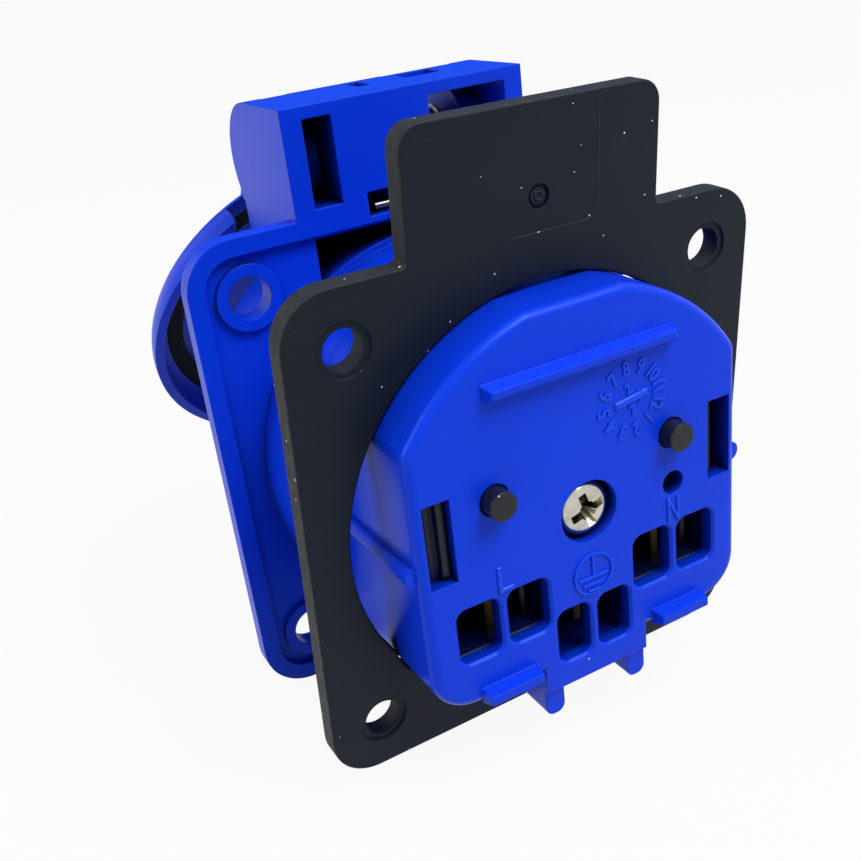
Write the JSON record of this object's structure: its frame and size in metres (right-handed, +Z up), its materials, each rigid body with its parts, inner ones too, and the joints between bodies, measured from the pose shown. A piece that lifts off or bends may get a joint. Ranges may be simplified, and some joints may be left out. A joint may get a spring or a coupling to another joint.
{
  "type": "panel-mount schuko socket outlet",
  "caption": "Blue weatherproof schuko socket for panel mounting, with a sprung round lid ajar, push-in wire entries at the rear and a loose black rubber flange gasket hanging on its body.",
  "frame": {"origin": "on the socket's axis, in the plane of the flange's rear rim, at the centre of the four fixing holes", "axes": "+Y points behind the panel to the wiring end, -Y to the lid and the plug side, +Z up to the hinge, +X to the left when seen from behind"},
  "size_m": [0.0504, 0.0733, 0.0609],
  "materials": {
    "blue_plastic": "moulded bright blue plastic, satin gloss",
    "gasket_rubber": "matt black cut sheet rubber with a little white dust",
    "seal_rubber": "soft black seal rubber",
    "black_plastic": "black moulded plastic",
    "brass": "bare stamped brass",
    "spring_steel": "bright spring steel",
    "nickel_plate": "nickel-plated screw steel"
  },
  "bodies": {
    "housing": {"socket_housing": "blue_plastic", "terminal_cover": "blue_plastic", "contact_carrier": "black_plastic", "live_contact": "brass", "neutral_contact": "brass", "live_grip_spring": "spring_steel", "neutral_grip_spring": "spring_steel", "earth_strap": "brass", "live_clamp_outer": "spring_steel", "live_clamp_inner": "spring_steel", "neutral_clamp_outer": "spring_steel", "neutral_clamp_inner": "spring_steel", "earth_clamp_left": "spring_steel", "earth_clamp_right": "spring_steel", "cover_screw": "nickel_plate", "hinge_pin": "spring_steel", "lid_spring": "spring_steel"},
    "lid": {"lid": "blue_plastic", "lid_seal": "seal_rubber"},
    "gasket": {"flange_gasket": "gasket_rubber"}
  },
  "joints": [
    {"name": "lid_hinge", "type": "hinge", "parent": "housing", "child": "lid", "pos_m": [0, -0.0085, 0.0293], "axis": [-1, 0, 0], "range_deg": [-33, 72], "stiffness_Nm_per_rad": 0.008, "springref_deg": -80.21, "deforming": ["lid_spring"]},
    {"name": "gasket_slide", "type": "slide", "parent": "housing", "child": "gasket", "axis": [0, 1, 0], "range_m": [-0.0145, 0.0004]}
  ]
}
